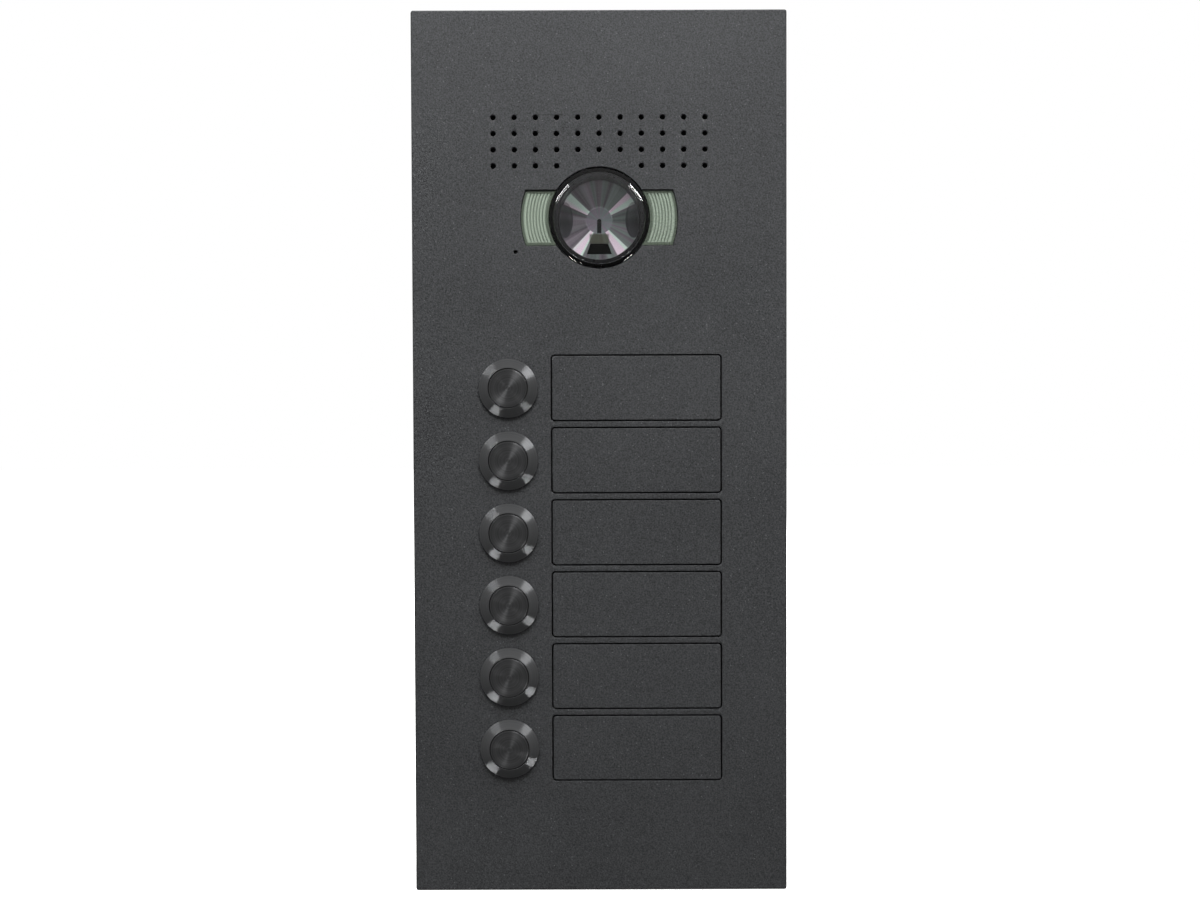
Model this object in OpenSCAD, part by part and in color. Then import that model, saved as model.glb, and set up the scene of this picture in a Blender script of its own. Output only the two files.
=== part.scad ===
// Surface-mounted door intercom panel: a flat powder-coated front plate on a folded housing,
// with a camera and speech module above six call buttons and their blank name plates.
// Each module is drawn in the panel's own frame: x to the right, y up, z out of the wall.
// facing() stands that frame upright, so the finished panel looks along -Y from a wall at Y = 0.

/* [Enclosure] */
// Width of the front plate and the housing
panel_w = 140; // [132:1:180]
// Height of the front plate and the housing
panel_h = 330; // [318:1:420]
// Radius of the outline's corners
corner_r = 1; // [0.6:0.2:2]
// Thickness of the aluminium front plate
plate_t = 3; // [2:0.5:4]
// Broken edge round the front of the plate
edge_break = 0.4; // [0.2:0.1:0.6]
// Depth of the housing, from the wall to the front of its flange
housing_d = 40; // [38:1:60]
// Sheet thickness of the housing
housing_t = 2; // [1.7:0.1:2.5]
// Width of the housing's inturned front flange
flange_w = 9; // [8:0.5:12]
// Distance of the wall fixing holes from the housing's edges
fixing_inset = 25; // [18:1:30]
// Diameter of the wall fixing holes
fixing_d = 5.5; // [4.5:0.5:7]
// Diameter of the cable hole through the grommet
cable_d = 10; // [6:0.5:12]
// Distance of the cable entry below the top edge
cable_drop = 125; // [118:1:135]

/* [Gasket between plate and housing] */
// Thickness of the plate gasket
gasket_t = 1; // [0.5:0.25:2]
// Width of the plate gasket
gasket_w = 6; // [4:0.5:7]
// Distance of the gasket behind the outline
gasket_inset = 1; // [0.5:0.25:1.5]

/* [Speech grille] */
// Diameter of the sound holes
hole_d = 2; // [1.5:0.25:2.5]
// Number of sound holes in a full row
grille_cols = 11; // [7:2:11]
// Number of rows of sound holes
grille_rows = 4; // [2:1:4]
// Spacing of the sound holes across the panel
grille_pitch_x = 7.9; // [5:0.1:8]
// Spacing of the rows of sound holes
grille_pitch_y = 6; // [5:0.1:6.5]
// Distance of the top row below the top edge
grille_drop = 39.8; // [38:0.2:41]
// Diameter of the microphone hole
mic_hole_d = 1.5; // [1:0.25:2]
// Distance of the microphone hole left of the camera's axis
mic_left = 31.3; // [29:0.1:33]
// Distance of the microphone hole below the camera's axis
mic_below = 12.7; // [12.5:0.1:14]

/* [Camera] */
// Distance of the camera's axis below the top edge
camera_drop = 77.1; // [76:0.1:82]
// Radius of the clear dome
dome_r = 18.7; // [15.5:0.1:19.5]
// Height of the dome above the front of the plate
dome_rise = 6; // [4:0.5:8]
// Wall thickness of the dome
dome_wall = 1.8; // [1.2:0.1:2]
// Radial length of each light window
window_len = 10.2; // [8:0.2:11]
// Height of the light windows
window_h = 20.4; // [16:0.2:22]
// Spacing of the ribs moulded into the windows
rib_pitch = 1.15; // [0.9:0.05:1.6]
// Distance of the windows' front behind the front of the plate
window_sink = 0.7; // [0.3:0.1:1]
// Depth of the reflector's rim behind the front of the plate
reflector_sink = 9; // [8:0.5:10]
// Radius of the flat middle of the reflector
reflector_hub_r = 4.9; // [4:0.1:6]

/* [Speaker] */
// Width of the speaker's frame
speaker_w = 70; // [56:1:71]
// Height of the speaker's frame
speaker_h = 30; // [25:1:32]

/* [Call buttons] */
// Distance of the button centres left of the panel's centre
button_left = 34.3; // [34:0.1:38]
// Distance of the first button below the top edge
first_row_drop = 140.6; // [139:0.1:150]
// Spacing of the buttons and of the name plates
row_pitch = 27.1; // [26.5:0.1:28]
// Diameter of the button's head
head_d = 22; // [20.5:0.5:24]
// Height of the button's head
head_h = 2.5; // [2:0.25:3.5]
// Diameter of the threaded barrel
barrel_d = 18.6; // [17.4:0.1:19]
// Diameter of the pressed cap
cap_d = 14.4; // [12:0.1:14.6]
// Radial gap round the cap
cap_gap = 0.25; // [0.15:0.05:0.35]
// Travel of the cap
travel = 2; // [1:0.25:2.25]
// Diameter of the cap's stem
stem_d = 6; // [5:0.1:6.4]

/* [Name plates] */
// Width of a name plate
name_w = 63; // [40:0.5:64]
// Height of a name plate
name_h = 24; // [18:0.5:24.2]
// Gap all round a name plate
name_gap = 0.5; // [0.3:0.1:0.6]
// Radius of a name plate's corners
name_corner_r = 1; // [0.5:0.25:2]
// Distance from the button centres to the left edge of the name windows
name_offset = 15.95; // [15.9:0.05:17]

/* [Hidden] */
$fn = 64;
ROWS = [1 : 6];

// Levels along z
plate_z = housing_d + gasket_t;
face_z = plate_z + plate_t;

// Places on the panel
top_y = panel_h / 2;
camera_y = top_y - camera_drop;
mic_x = -mic_left;
mic_y = camera_y - mic_below;
button_x = -button_left;
name_x = button_x + name_offset + name_gap + name_w / 2;
cable_y = top_y - cable_drop;
fixing_x = panel_w / 2 - fixing_inset;
fixing_y = panel_h / 2 - fixing_inset;
function row_y(i) = top_y - first_row_drop - (i - 1) * row_pitch;
first_y = row_y(1);
last_y = row_y(6);

// Clearances shared by pieces that fit together
slip = 0.2;          // between mouldings and the openings that take them
screw_slip = 0.05;   // between a thread's crest and the hole it is cut in
cut = 1;             // how far a cutting shape runs past the face it opens

// M3 weld studs and their nuts
stud_r = 1.5;
stud_hole_r = 1.7;
nut_af = 5.5;
nut_h = 2.4;
stud_long = 7;
stud_short = 5;

// Brackets behind the plate
bracket_t = 2;
bracket_w = 16;
bracket_h = 9;
hook_x = 45;
hook_reach = 7;
hook_slip = 0.2;
driver_r = 3.6;
flange_in_x = panel_w / 2 - housing_t - flange_w;
flange_in_y = panel_h / 2 - housing_t - flange_w;
bracket_y = flange_in_y - 0.5 - bracket_h / 2;
lock_w = 96;
lock_x = 40;
lock_stud_x = 25;
lock_foot = 16;
lock_foot_slip = 0.3;
lock_screw_back = 11;
drain_x = 20;
drain_r = 2.5;
drain_z = 10;

// M3 countersunk security screws in the bottom of the housing
lock_head_r = 2.8;
lock_head_h = 1.55;
lock_shank_r = 1.45;
lock_hole_r = 1.6;
lock_len = 9;
lock_sink = 0.25;

// Camera opening
cutout_r = dome_r + 0.3;
window_in_r = cutout_r;
window_out_r = window_in_r + window_len;
window_side = window_out_r + slip;
dome_flange_r = dome_r + 2.8;
dome_flange_t = 1.8;
seal_t = 0.8;

// Speech and camera case, behind its own gasket
sheet_t = 1;
case_front_t = 3;
case_wall = 2;
case_d = 20;
ear_w = 8;
post_r = 3;
speaker_edge = 0.6;
speaker_y = camera_y + dome_flange_r + speaker_edge + speaker_h / 2;
case_w = 88;
case_top = speaker_y + speaker_h / 2 + 1 + case_wall;
case_bottom = camera_y - dome_flange_r - 2.5;
case_h = case_top - case_bottom;
case_y = (case_top + case_bottom) / 2;
case_front_z = plate_z - sheet_t;
case_inner_z = case_front_z - case_front_t;
case_back_z = case_inner_z - case_d;
post_x = case_w / 2 - case_wall - post_r;
post_y = case_h / 2 - case_wall - post_r;
ear_x = case_w / 2 + ear_w / 2;
ear_y = case_h / 2 - 8;

// Sound field behind the grille
field_w = (grille_cols - 1) * grille_pitch_x + 5;
field_top = max(top_y - grille_drop + 2.5, speaker_y + 11);
field_bottom = top_y - grille_drop - (grille_rows - 1) * grille_pitch_y - 2.5;
field_guard_r = cutout_r + 2.5;
field_sink = 1.5;
mesh_t = 0.5;
skip_r = cutout_r + 3;

// Camera stack, from the dome's flange back
boss_r = 2.4;
boss_x = (dome_flange_r + 2.7) * cos(45);
flange_top_z = case_inner_z - seal_t;
shroud_top_z = flange_top_z - dome_flange_t;
shroud_t = 2.2;
shroud_z = shroud_top_z - shroud_t;
shroud_r = dome_r - dome_wall - 0.3;
shroud_wall = 1.4;
reflector_r = shroud_r - shroud_wall - 0.1;
reflector_t = 1.2;
reflector_rim_z = face_z - reflector_sink;
reflector_hub_z = reflector_rim_z - 1;
pinhole_r = 0.8;
board_t = 1.6;
camera_board_z = shroud_z - 10.2;
lens_r = 6;
lens_seat_r = 2.2;
holder_w = 16;
sensor_w = 5;
holder_h = 5;

// Light boards beside the camera
window_seat = 1.2;
led_board_w = 10;
led_board_h = window_h - 2 * window_seat + 0.6;
led_board_x = dome_flange_r + 0.7;
led_x = cutout_r + 6;
led_pitch = 5.5;
led_size = [3.5, 2.8, 1.4];

// Screws of the speech and camera case
m2_head_r = 1.9;
m2_head_h = 1.2;
m2_r = 0.95;
m2_hole_r = 1;
m2_clear_r = 1.15;
m2_grip = 5;

// Camera board, on four posts just inside the bosses' screw heads
post_gap = 0.1;
camera_post_x = boss_x - (boss_r + m2_head_r + post_gap) * cos(45);
camera_board_w = 2 * (camera_post_x + 4);

// Speaker
speaker_flange_t = 1.5;
speaker_basket_h = 7;
speaker_rim = 5;
magnet_r = 11;
magnet_h = 6;
speaker_screw_x = speaker_w / 2 - 3;
speaker_screw_y = speaker_h / 2 - 3;

// Main board and what stands on it
terminal_size = [42, 10, 10];
terminal_ways = 8;
terminal_pitch = 5.08;
terminal_y = case_bottom + 14;

// Call button, measured from the front of the plate
button_seal_t = 0.5;
head_rim = 0.5;
head_land = 0.25;
hole_slip = 0.3;
guide_t = 3.5;
guide_slip = 0.1;
barrel_end = -15;
cap_t = 2.5;
collar_r = 3.8;
collar_h = 1;
stem_tail = 1.9;
washer_t = 0.8;
button_nut_af = 22;
button_nut_h = 3;
barrel_wall = 1.8;
block_r = 8.8;
block_end = -22;
block_bore_r = 4.2;
blade_x = 3.5;
blade_w = 2.8;
blade_shoulder_w = 4.2;
blade_t = 0.5;
blade_tail = 2.1;
strip_z = face_z - 29;
strip_w = 16;
strip_over = 10;
spring_r = 5;
spring_wire = 0.5;
spring_turns = 2.5;
spring_solid = 2;

// ---- Shared shapes ----

module facing() rotate([90, 0, 0]) children();

module slab(z0, z1) translate([0, 0, z0]) linear_extrude(z1 - z0) children();

module disc(r, z0, z1) translate([0, 0, z0]) cylinder(r = r, h = z1 - z0);

module mirrored_x() {
    children();
    mirror([1, 0, 0]) children();
}

module mirrored_xy() {
    mirrored_x() children();
    mirror([0, 1, 0]) mirrored_x() children();
}

module box_2d(w, h) square([w, h], center = true);

module rounded_2d(w, h, r) difference() {
    box_2d(w, h);
    mirrored_xy() translate([w / 2 - r, h / 2 - r]) difference() {
        square(r + cut);
        circle(r);
    }
}

module outline_2d(inset = 0) box_or_round(panel_w - 2 * inset, panel_h - 2 * inset, corner_r - inset);

module box_or_round(w, h, r) {
    if (r > 0) rounded_2d(w, h, r);
    else box_2d(w, h);
}

module at_camera() translate([0, camera_y, 0]) children();

module at_row(i) translate([button_x, row_y(i), 0]) children();

module at_name(i) translate([name_x, row_y(i), 0]) children();

module at_case_posts() translate([0, case_y, 0]) mirrored_xy() translate([post_x, post_y, 0]) children();

module at_case_ears() translate([0, case_y, 0]) mirrored_xy() translate([ear_x, ear_y, 0]) children();

module at_bosses() at_camera() mirrored_xy() translate([boss_x, boss_x, 0]) children();

module at_camera_posts() at_camera() mirrored_xy() translate([camera_post_x, camera_post_x, 0]) children();

module at_speaker_screws() translate([0, speaker_y, 0]) mirrored_xy()
    translate([speaker_screw_x, speaker_screw_y, 0]) children();

module at_hooks() translate([0, bracket_y, 0]) mirrored_x() translate([hook_x, 0, 0]) children();

// A bracket's stud stands in the middle of what its web leaves of the base
module at_hook_studs() translate([0, bracket_t / 2, 0]) at_hooks() children();

module at_lock_studs() translate([0, bracket_t / 2 - bracket_y, 0]) mirrored_x()
    translate([lock_stud_x, 0, 0]) children();

// Studs beside the name windows: above the first, below the last and down the right side
backing_side = 2.5;
backing_right = 8;
backing_end = 9;
window_w = name_w + 2 * name_gap;
window_top = first_y + name_h / 2 + name_gap;
window_bottom = last_y - name_h / 2 - name_gap;
backing_x0 = name_x - window_w / 2 - backing_side;
backing_x1 = name_x + window_w / 2 + backing_right;
backing_y0 = window_bottom - backing_end;
backing_y1 = window_top + backing_end;
backing_t = 1.5;
backing_studs = [
    [backing_x0 + 12, backing_y1 - 4], [backing_x0 + 12, backing_y0 + 4],
    [backing_x1 - 4, backing_y1 - 4], [backing_x1 - 4, backing_y0 + 4],
    [backing_x1 - 4, row_y(3)], [backing_x1 - 4, row_y(4)]
];
name_stud_x = name_w / 2 - 9;

module at_backing_studs() for (p = backing_studs) translate([p[0], p[1], 0]) children();

module at_name_studs(i) at_name(i) mirrored_x() translate([name_stud_x, 0, 0]) children();

// Camera opening: the dome's circle with a light window at each side
module camera_opening_2d(extra = 0) {
    circle(cutout_r + extra);
    intersection() {
        circle(window_side + extra);
        box_2d(2 * (window_side + extra) + cut, window_h + 2 * (slip + extra));
    }
}

// The right-hand window's outline, drawn in by an inset
module window_2d(inset = 0) intersection() {
    difference() {
        circle(window_out_r - inset);
        circle(window_in_r + inset);
    }
    translate([0, -window_h / 2 + inset]) square([window_out_r, window_h - 2 * inset]);
}

module name_window_2d() rounded_2d(window_w, name_h + 2 * name_gap, name_corner_r + name_gap);

module sound_field_2d(inset = 0) difference() {
    translate([-field_w / 2 + inset, field_bottom + inset])
        square([field_w - 2 * inset, field_top - field_bottom - 2 * inset]);
    translate([0, camera_y]) circle(field_guard_r + inset);
}

module sound_holes_2d() for (row = [0 : grille_rows - 1], col = [0 : grille_cols - 1]) {
    x = (col - (grille_cols - 1) / 2) * grille_pitch_x;
    y = top_y - grille_drop - row * grille_pitch_y;
    if (norm([x, y - camera_y]) > skip_r) translate([x, y]) circle(d = hole_d);
}

module hex_nut(af, h, bore_r) difference() {
    cylinder(r = af / 2 / cos(30), h = h, $fn = 6);
    translate([0, 0, -cut]) cylinder(r = bore_r, h = h + 2 * cut);
}

// M2 screw that points up z, with the underside of its head at z = 0
module m2_screw(grip) {
    disc(m2_head_r, -m2_head_h, 0);
    disc(m2_r, -m2_head_h / 2, grip);
}

// ---- Enclosure ----

// The blank's front edges are broken by two prisms, one along each side
module plate_blank() intersection() {
    slab(plate_z, face_z) outline_2d();
    rotate([90, 0, 90]) translate([0, 0, -panel_w]) linear_extrude(2 * panel_w) broken_edge_2d(panel_h);
    rotate([90, 0, 0]) translate([0, 0, -panel_h]) linear_extrude(2 * panel_h) broken_edge_2d(panel_w);
}

module broken_edge_2d(w) polygon([
    [-w / 2, plate_z - cut], [w / 2, plate_z - cut], [w / 2, face_z - edge_break],
    [w / 2 - edge_break, face_z], [edge_break - w / 2, face_z], [-w / 2, face_z - edge_break]
]);

module front_plate() color("dimgray") {
    difference() {
        plate_blank();
        slab(plate_z - cut, face_z + cut) {
            sound_holes_2d();
            translate([mic_x, mic_y]) circle(d = mic_hole_d);
            translate([0, camera_y]) camera_opening_2d();
            for (i = ROWS) translate([button_x, row_y(i)]) circle(d = barrel_d + 2 * hole_slip);
            for (i = ROWS) translate([name_x, row_y(i)]) name_window_2d();
        }
    }
    at_case_ears() disc(stud_r, plate_z - stud_long, plate_z + plate_t / 2);
    at_backing_studs() disc(stud_r, plate_z - stud_short, plate_z + plate_t / 2);
    at_hook_studs() disc(stud_r, plate_z - stud_short, plate_z + plate_t / 2);
    at_lock_studs() disc(stud_r, plate_z - stud_short, plate_z + plate_t / 2);
}

module lock_screw_cutter() {
    cylinder(r1 = lock_head_r + slip, r2 = lock_hole_r, h = lock_head_h + slip);
    translate([0, 0, -cut]) cylinder(r = lock_hole_r, h = housing_t + 2 * cut);
    translate([0, 0, -cut]) cylinder(r = lock_head_r + slip, h = cut);
}

// Places a shape that points up the panel at each security screw
module at_lock_screws(y) mirrored_x()
    translate([lock_x, y, plate_z - lock_screw_back]) rotate([-90, 0, 0]) children();

module rear_housing() color("dimgray") difference() {
    slab(0, housing_d) outline_2d();
    slab(housing_t, housing_d - housing_t) outline_2d(housing_t);
    slab(housing_t, housing_d + cut) box_2d(2 * flange_in_x, 2 * flange_in_y);
    mirrored_xy() translate([fixing_x, fixing_y, 0]) disc(fixing_d / 2, -cut, housing_t + cut);
    translate([0, cable_y, 0]) disc(cable_d / 2 + grommet_wall, -cut, housing_t + cut);
    at_lock_screws(-panel_h / 2) lock_screw_cutter();
    mirrored_x() translate([drain_x, -panel_h / 2 - cut, drain_z])
        rotate([-90, 0, 0]) cylinder(r = drain_r, h = housing_t + 2 * cut);
}

module plate_gasket() color("#202224") slab(housing_d, plate_z) difference() {
    outline_2d(gasket_inset);
    outline_2d(gasket_inset + gasket_w);
}

// Two hooks that hang the plate behind the top flange
module hook_brackets() color("silver") difference() {
    at_hooks() {
        slab(plate_z - bracket_t, plate_z) box_2d(bracket_w, bracket_h);
        translate([-bracket_w / 2, -bracket_h / 2, hook_z]) cube([bracket_w, bracket_t, plate_z - hook_z]);
        translate([-bracket_w / 2, -bracket_h / 2, hook_z])
            cube([bracket_w, bracket_h + 0.5 + hook_reach, bracket_t]);
    }
    at_hook_studs() disc(stud_hole_r, plate_z - bracket_t - cut, plate_z + cut);
    at_hook_studs() disc(driver_r, hook_z - cut, hook_z + bracket_t + cut);
}
hook_z = housing_d - housing_t - hook_slip - bracket_t;

// Angle at the bottom, whose foot takes the security screws
module lock_bracket() color("silver") difference() {
    translate([-lock_w / 2, 0, 0]) {
        translate([0, -bracket_y - bracket_h / 2, plate_z - bracket_t]) cube([lock_w, bracket_h, bracket_t]);
        translate([0, -bracket_y - bracket_h / 2, hook_z])
            cube([lock_w, bracket_t, plate_z - hook_z]);
        translate([0, lock_foot_y, hook_z])
            cube([lock_w, bracket_t - bracket_y - bracket_h / 2 - lock_foot_y, bracket_t]);
        translate([0, lock_foot_y, hook_z + bracket_t - lock_foot]) cube([lock_w, bracket_t, lock_foot]);
    }
    at_lock_studs() disc(stud_hole_r, plate_z - bracket_t - cut, plate_z + cut);
    at_lock_screws(lock_foot_y - cut) cylinder(r = lock_shank_r + screw_slip, h = bracket_t + 2 * cut);
}
lock_foot_y = housing_t + lock_foot_slip - panel_h / 2;

module security_screws() color("silver") at_lock_screws(lock_sink - panel_h / 2) difference() {
    union() {
        cylinder(r1 = lock_head_r, r2 = lock_shank_r, h = lock_head_h);
        cylinder(r = lock_shank_r, h = lock_len);
    }
    translate([0, 0, -cut]) cylinder(r = 1, h = cut + 1, $fn = 6);
}

grommet_wall = 3;
grommet_lip = 3;
grommet_lip_t = 2;
grommet_h = 8;
module cable_grommet() color("#1c1d1f") translate([0, cable_y, 0]) difference() {
    union() {
        disc(cable_d / 2 + grommet_wall, 0, housing_t + grommet_lip_t);
        disc(cable_d / 2 + grommet_wall + grommet_lip, housing_t, housing_t + grommet_lip_t);
        disc(cable_d / 2 + grommet_wall / 2, 0, grommet_h);
    }
    disc(cable_d / 2, -cut, grommet_h + cut);
}

// ---- Name plates ----

module name_plate(i) color("dimgray") {
    at_name(i) slab(plate_z, face_z) rounded_2d(name_w, name_h, name_corner_r);
    at_name_studs(i) disc(stud_r, plate_z - stud_short, plate_z + plate_t / 2);
}

module name_backing() color("silver") difference() {
    translate([backing_x0, backing_y0, plate_z - backing_t])
        cube([backing_x1 - backing_x0, backing_y1 - backing_y0, backing_t]);
    at_backing_studs() disc(stud_hole_r, plate_z - backing_t - cut, plate_z + cut);
    for (i = ROWS) at_name_studs(i) disc(stud_hole_r, plate_z - backing_t - cut, plate_z + cut);
}

module stud_nut(z) translate([0, 0, z - nut_h]) hex_nut(nut_af, nut_h, stud_r + screw_slip);

module stud_nuts() color("silver") {
    at_case_ears() stud_nut(case_inner_z);
    at_backing_studs() stud_nut(plate_z - backing_t);
    for (i = ROWS) at_name_studs(i) stud_nut(plate_z - backing_t);
    at_hook_studs() stud_nut(plate_z - bracket_t);
    at_lock_studs() stud_nut(plate_z - bracket_t);
}

// ---- Speech and camera case ----

module speaker_opening_2d(inset = 0) translate([0, speaker_y])
    rounded_2d(speaker_w - 2 * (speaker_rim + inset), speaker_h - 2 * (speaker_rim - 1 + inset), 5 - inset);

module av_case() color("#26282a") difference() {
    union() {
        slab(case_inner_z, case_front_z) translate([0, case_y]) rounded_2d(case_w + 2 * ear_w, case_h, 3);
        slab(case_back_z - board_t, case_inner_z) difference() {
            translate([0, case_y]) rounded_2d(case_w, case_h, 3);
            translate([0, case_y]) rounded_2d(case_w - 2 * case_wall, case_h - 2 * case_wall, 1);
        }
        at_case_posts() disc(post_r, case_back_z, case_inner_z);
        at_bosses() disc(boss_r, shroud_top_z, case_inner_z);
    }
    slab(case_front_z - field_sink, case_front_z + cut) sound_field_2d(0.5);
    slab(case_inner_z - cut, case_front_z + cut) speaker_opening_2d();
    at_camera() disc(dome_r + slip, case_inner_z - cut, case_front_z + cut);
    at_camera() slab(case_inner_z - cut, case_front_z + cut) mirrored_x() window_2d(window_seat);
    translate([mic_x, mic_y, 0]) disc(boot_nose_r + slip, case_inner_z - cut, case_front_z + cut);
    at_case_ears() disc(stud_hole_r, case_inner_z - cut, case_front_z + cut);
    at_case_posts() disc(m2_hole_r, case_back_z - cut, case_back_z + m2_grip + cut);
    at_bosses() disc(m2_hole_r, shroud_top_z - cut, case_inner_z + 1.5);
    at_speaker_screws() disc(m2_hole_r, case_inner_z - cut, case_inner_z + 1.4);
}

module av_gasket() color("#1c1d1f") slab(case_front_z, plate_z) difference() {
    translate([0, case_y]) rounded_2d(case_w + 2 * ear_w, case_h, 3);
    sound_field_2d();
    translate([0, camera_y]) camera_opening_2d(slip);
    translate([mic_x, mic_y]) circle(boot_nose_r + slip);
    at_case_ears() circle(stud_hole_r);
}

// Clear dome: a short tube, closed by a shallow cap and held by a flange behind the case's front
dome_ball_r = (pow(dome_r, 2) + pow(dome_rise, 2)) / (2 * dome_rise);
dome_ball_z = face_z + dome_rise - dome_ball_r;
module camera_dome() color("lightcyan", 0.35) at_camera() difference() {
    union() {
        disc(dome_flange_r, shroud_top_z, flange_top_z);
        disc(dome_r, shroud_top_z, face_z);
        intersection() {
            translate([0, 0, dome_ball_z]) sphere(dome_ball_r);
            disc(dome_r, face_z - cut, face_z + dome_rise + cut);
        }
    }
    intersection() {
        translate([0, 0, dome_ball_z]) sphere(dome_ball_r - dome_wall);
        disc(dome_r - dome_wall, shroud_top_z - cut, face_z + dome_rise);
    }
}

module dome_seal() color("#1c1d1f") at_camera() difference() {
    disc(dome_flange_r - slip, flange_top_z, case_inner_z);
    disc(dome_r + 0.4, flange_top_z - cut, case_inner_z + cut);
}

// Black surround inside the dome, which holds the reflector and the camera board
module camera_shroud() color("#101112") difference() {
    union() {
        at_camera() disc(dome_flange_r, shroud_z, shroud_top_z);
        at_camera() disc(shroud_r, shroud_z, face_z - 1.5);
        at_bosses() disc(boss_r, shroud_z, shroud_top_z);
        at_camera_posts() disc(boss_r, camera_board_z + board_t, shroud_z + cut);
    }
    at_camera() disc(reflector_r - 1.1, shroud_z - cut, face_z);
    at_camera() disc(reflector_r + 0.1, reflector_rim_z - reflector_t, face_z);
    at_bosses() disc(m2_clear_r, shroud_z - cut, shroud_top_z + cut);
    at_camera_posts() disc(m2_hole_r, camera_board_z, camera_board_z + board_t + m2_grip);
}

// Shallow spun dish with a flat hub, a pinhole and a notch below the hub
notch_in = 8;
notch_out = 12;
notch_w = 9;
module reflector() color("silver") at_camera() difference() {
    rotate_extrude() polygon([
        [pinhole_r, reflector_hub_z - reflector_t], [reflector_hub_r, reflector_hub_z - reflector_t],
        [reflector_r - 1.5, reflector_rim_z - reflector_t], [reflector_r, reflector_rim_z - reflector_t],
        [reflector_r, reflector_rim_z], [reflector_hub_r, reflector_hub_z], [pinhole_r, reflector_hub_z]
    ]);
    slab(reflector_hub_z - 2 * reflector_t, reflector_rim_z + cut) polygon([
        [-notch_w / 2 + 1, -notch_in], [notch_w / 2 - 1, -notch_in],
        [notch_w / 2, -notch_out], [-notch_w / 2, -notch_out]
    ]);
}

module lens_holder() color("#151618") at_camera() difference() {
    union() {
        slab(camera_board_z + board_t, camera_board_z + board_t + holder_h) box_2d(holder_w, holder_w);
        disc(lens_r, camera_board_z + board_t, reflector_hub_z - reflector_t);
    }
    disc(lens_seat_r, lens_z, reflector_hub_z);
    disc(pinhole_r, camera_board_z + board_t, reflector_hub_z);
    slab(camera_board_z, camera_board_z + board_t + 2) box_2d(sensor_w + 2, sensor_w + 2);
}
lens_z = reflector_hub_z - reflector_t - 1;

module camera_lens() color("lightblue", 0.5) at_camera() disc(lens_seat_r, lens_z, lens_z + 0.8);

module camera_board() color("darkgreen") difference() {
    at_camera() slab(camera_board_z, camera_board_z + board_t) box_2d(camera_board_w, camera_board_w);
    at_camera_posts() disc(m2_clear_r, camera_board_z - cut, camera_board_z + board_t + cut);
}

// Frosted window with concentric ribs on its front, shown for the right-hand side
rib_groove_w = 0.45;
rib_groove_h = 0.5;
rib_margin = 1.1;
module window_right() color("#909c8e", 0.9) at_camera() difference() {
    slab(case_front_z, window_z) window_2d();
    for (r = [window_in_r + rib_margin : rib_pitch : window_out_r - rib_margin + 0.01])
        slab(window_z - rib_groove_h, window_z + cut) intersection() {
            difference() {
                circle(r + rib_groove_w / 2);
                circle(r - rib_groove_w / 2);
            }
            translate([0, rib_margin - window_h / 2]) square([window_out_r, window_h - 2 * rib_margin]);
        }
}
window_z = face_z - window_sink;

module window_left() mirror([1, 0, 0]) window_right();

module led_boards() color("darkgreen") at_camera() mirrored_x()
    translate([led_board_x, -led_board_h / 2, case_inner_z - board_t])
        cube([led_board_w, led_board_h, board_t]);

module leds() color("lightyellow") at_camera() mirrored_x() for (k = [-1 : 1])
    translate([led_x - led_size[0] / 2, k * led_pitch - led_size[1] / 2, case_inner_z]) cube(led_size);

// ---- Speaker and microphone ----

module speaker_frame() color("#2b2d30") difference() {
    translate([0, speaker_y, 0]) {
        slab(case_inner_z - speaker_flange_t, case_inner_z) rounded_2d(speaker_w, speaker_h, 3);
        slab(magnet_z, case_inner_z) rounded_2d(speaker_w - 2 * speaker_rim + 2, speaker_h - 4, 5);
        disc(magnet_r, magnet_z - magnet_h, magnet_z + 1);
    }
    slab(magnet_z + 1.5, case_inner_z + cut) speaker_opening_2d();
    at_speaker_screws() disc(m2_clear_r, case_inner_z - speaker_flange_t - cut, case_inner_z + cut);
}
magnet_z = case_inner_z - speaker_flange_t - speaker_basket_h;

cone_z = case_inner_z - 2.5;
module speaker_cone() color("#3a3632") {
    slab(cone_z, cone_z + 0.8) speaker_opening_2d(0);
    translate([0, speaker_y, cone_z + 0.8]) intersection() {
        translate([0, 0, -4]) sphere(7);
        cylinder(r = 7, h = 4);
    }
}

module speaker_mesh() color("#0c0d0e") slab(plate_z - mesh_t, plate_z) sound_field_2d(0.3);

boot_r = 3.2;
boot_nose_r = 2.4;
boot_h = 4;
capsule_r = 2;
capsule_h = 2;
module microphone_boot() color("#1c1d1f") translate([mic_x, mic_y, 0]) difference() {
    union() {
        disc(boot_r, case_inner_z - boot_h, case_inner_z);
        disc(boot_nose_r, case_inner_z - 1, plate_z);
    }
    disc(capsule_r, case_inner_z - boot_h - cut, case_inner_z - 1);
    disc(mic_hole_d / 2, case_inner_z - boot_h, plate_z + cut);
}

module microphone() color("silver") translate([mic_x, mic_y, 0])
    disc(capsule_r, case_inner_z - 1 - capsule_h, case_inner_z - 1);

// ---- Electronics ----

module main_board() color("darkgreen") difference() {
    slab(case_back_z - board_t, case_back_z) translate([0, case_y])
        rounded_2d(case_w - 2 * (case_wall + slip), case_h - 2 * (case_wall + slip), 1);
    at_case_posts() disc(m2_clear_r, case_back_z - board_t - cut, case_back_z + cut);
}

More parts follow.
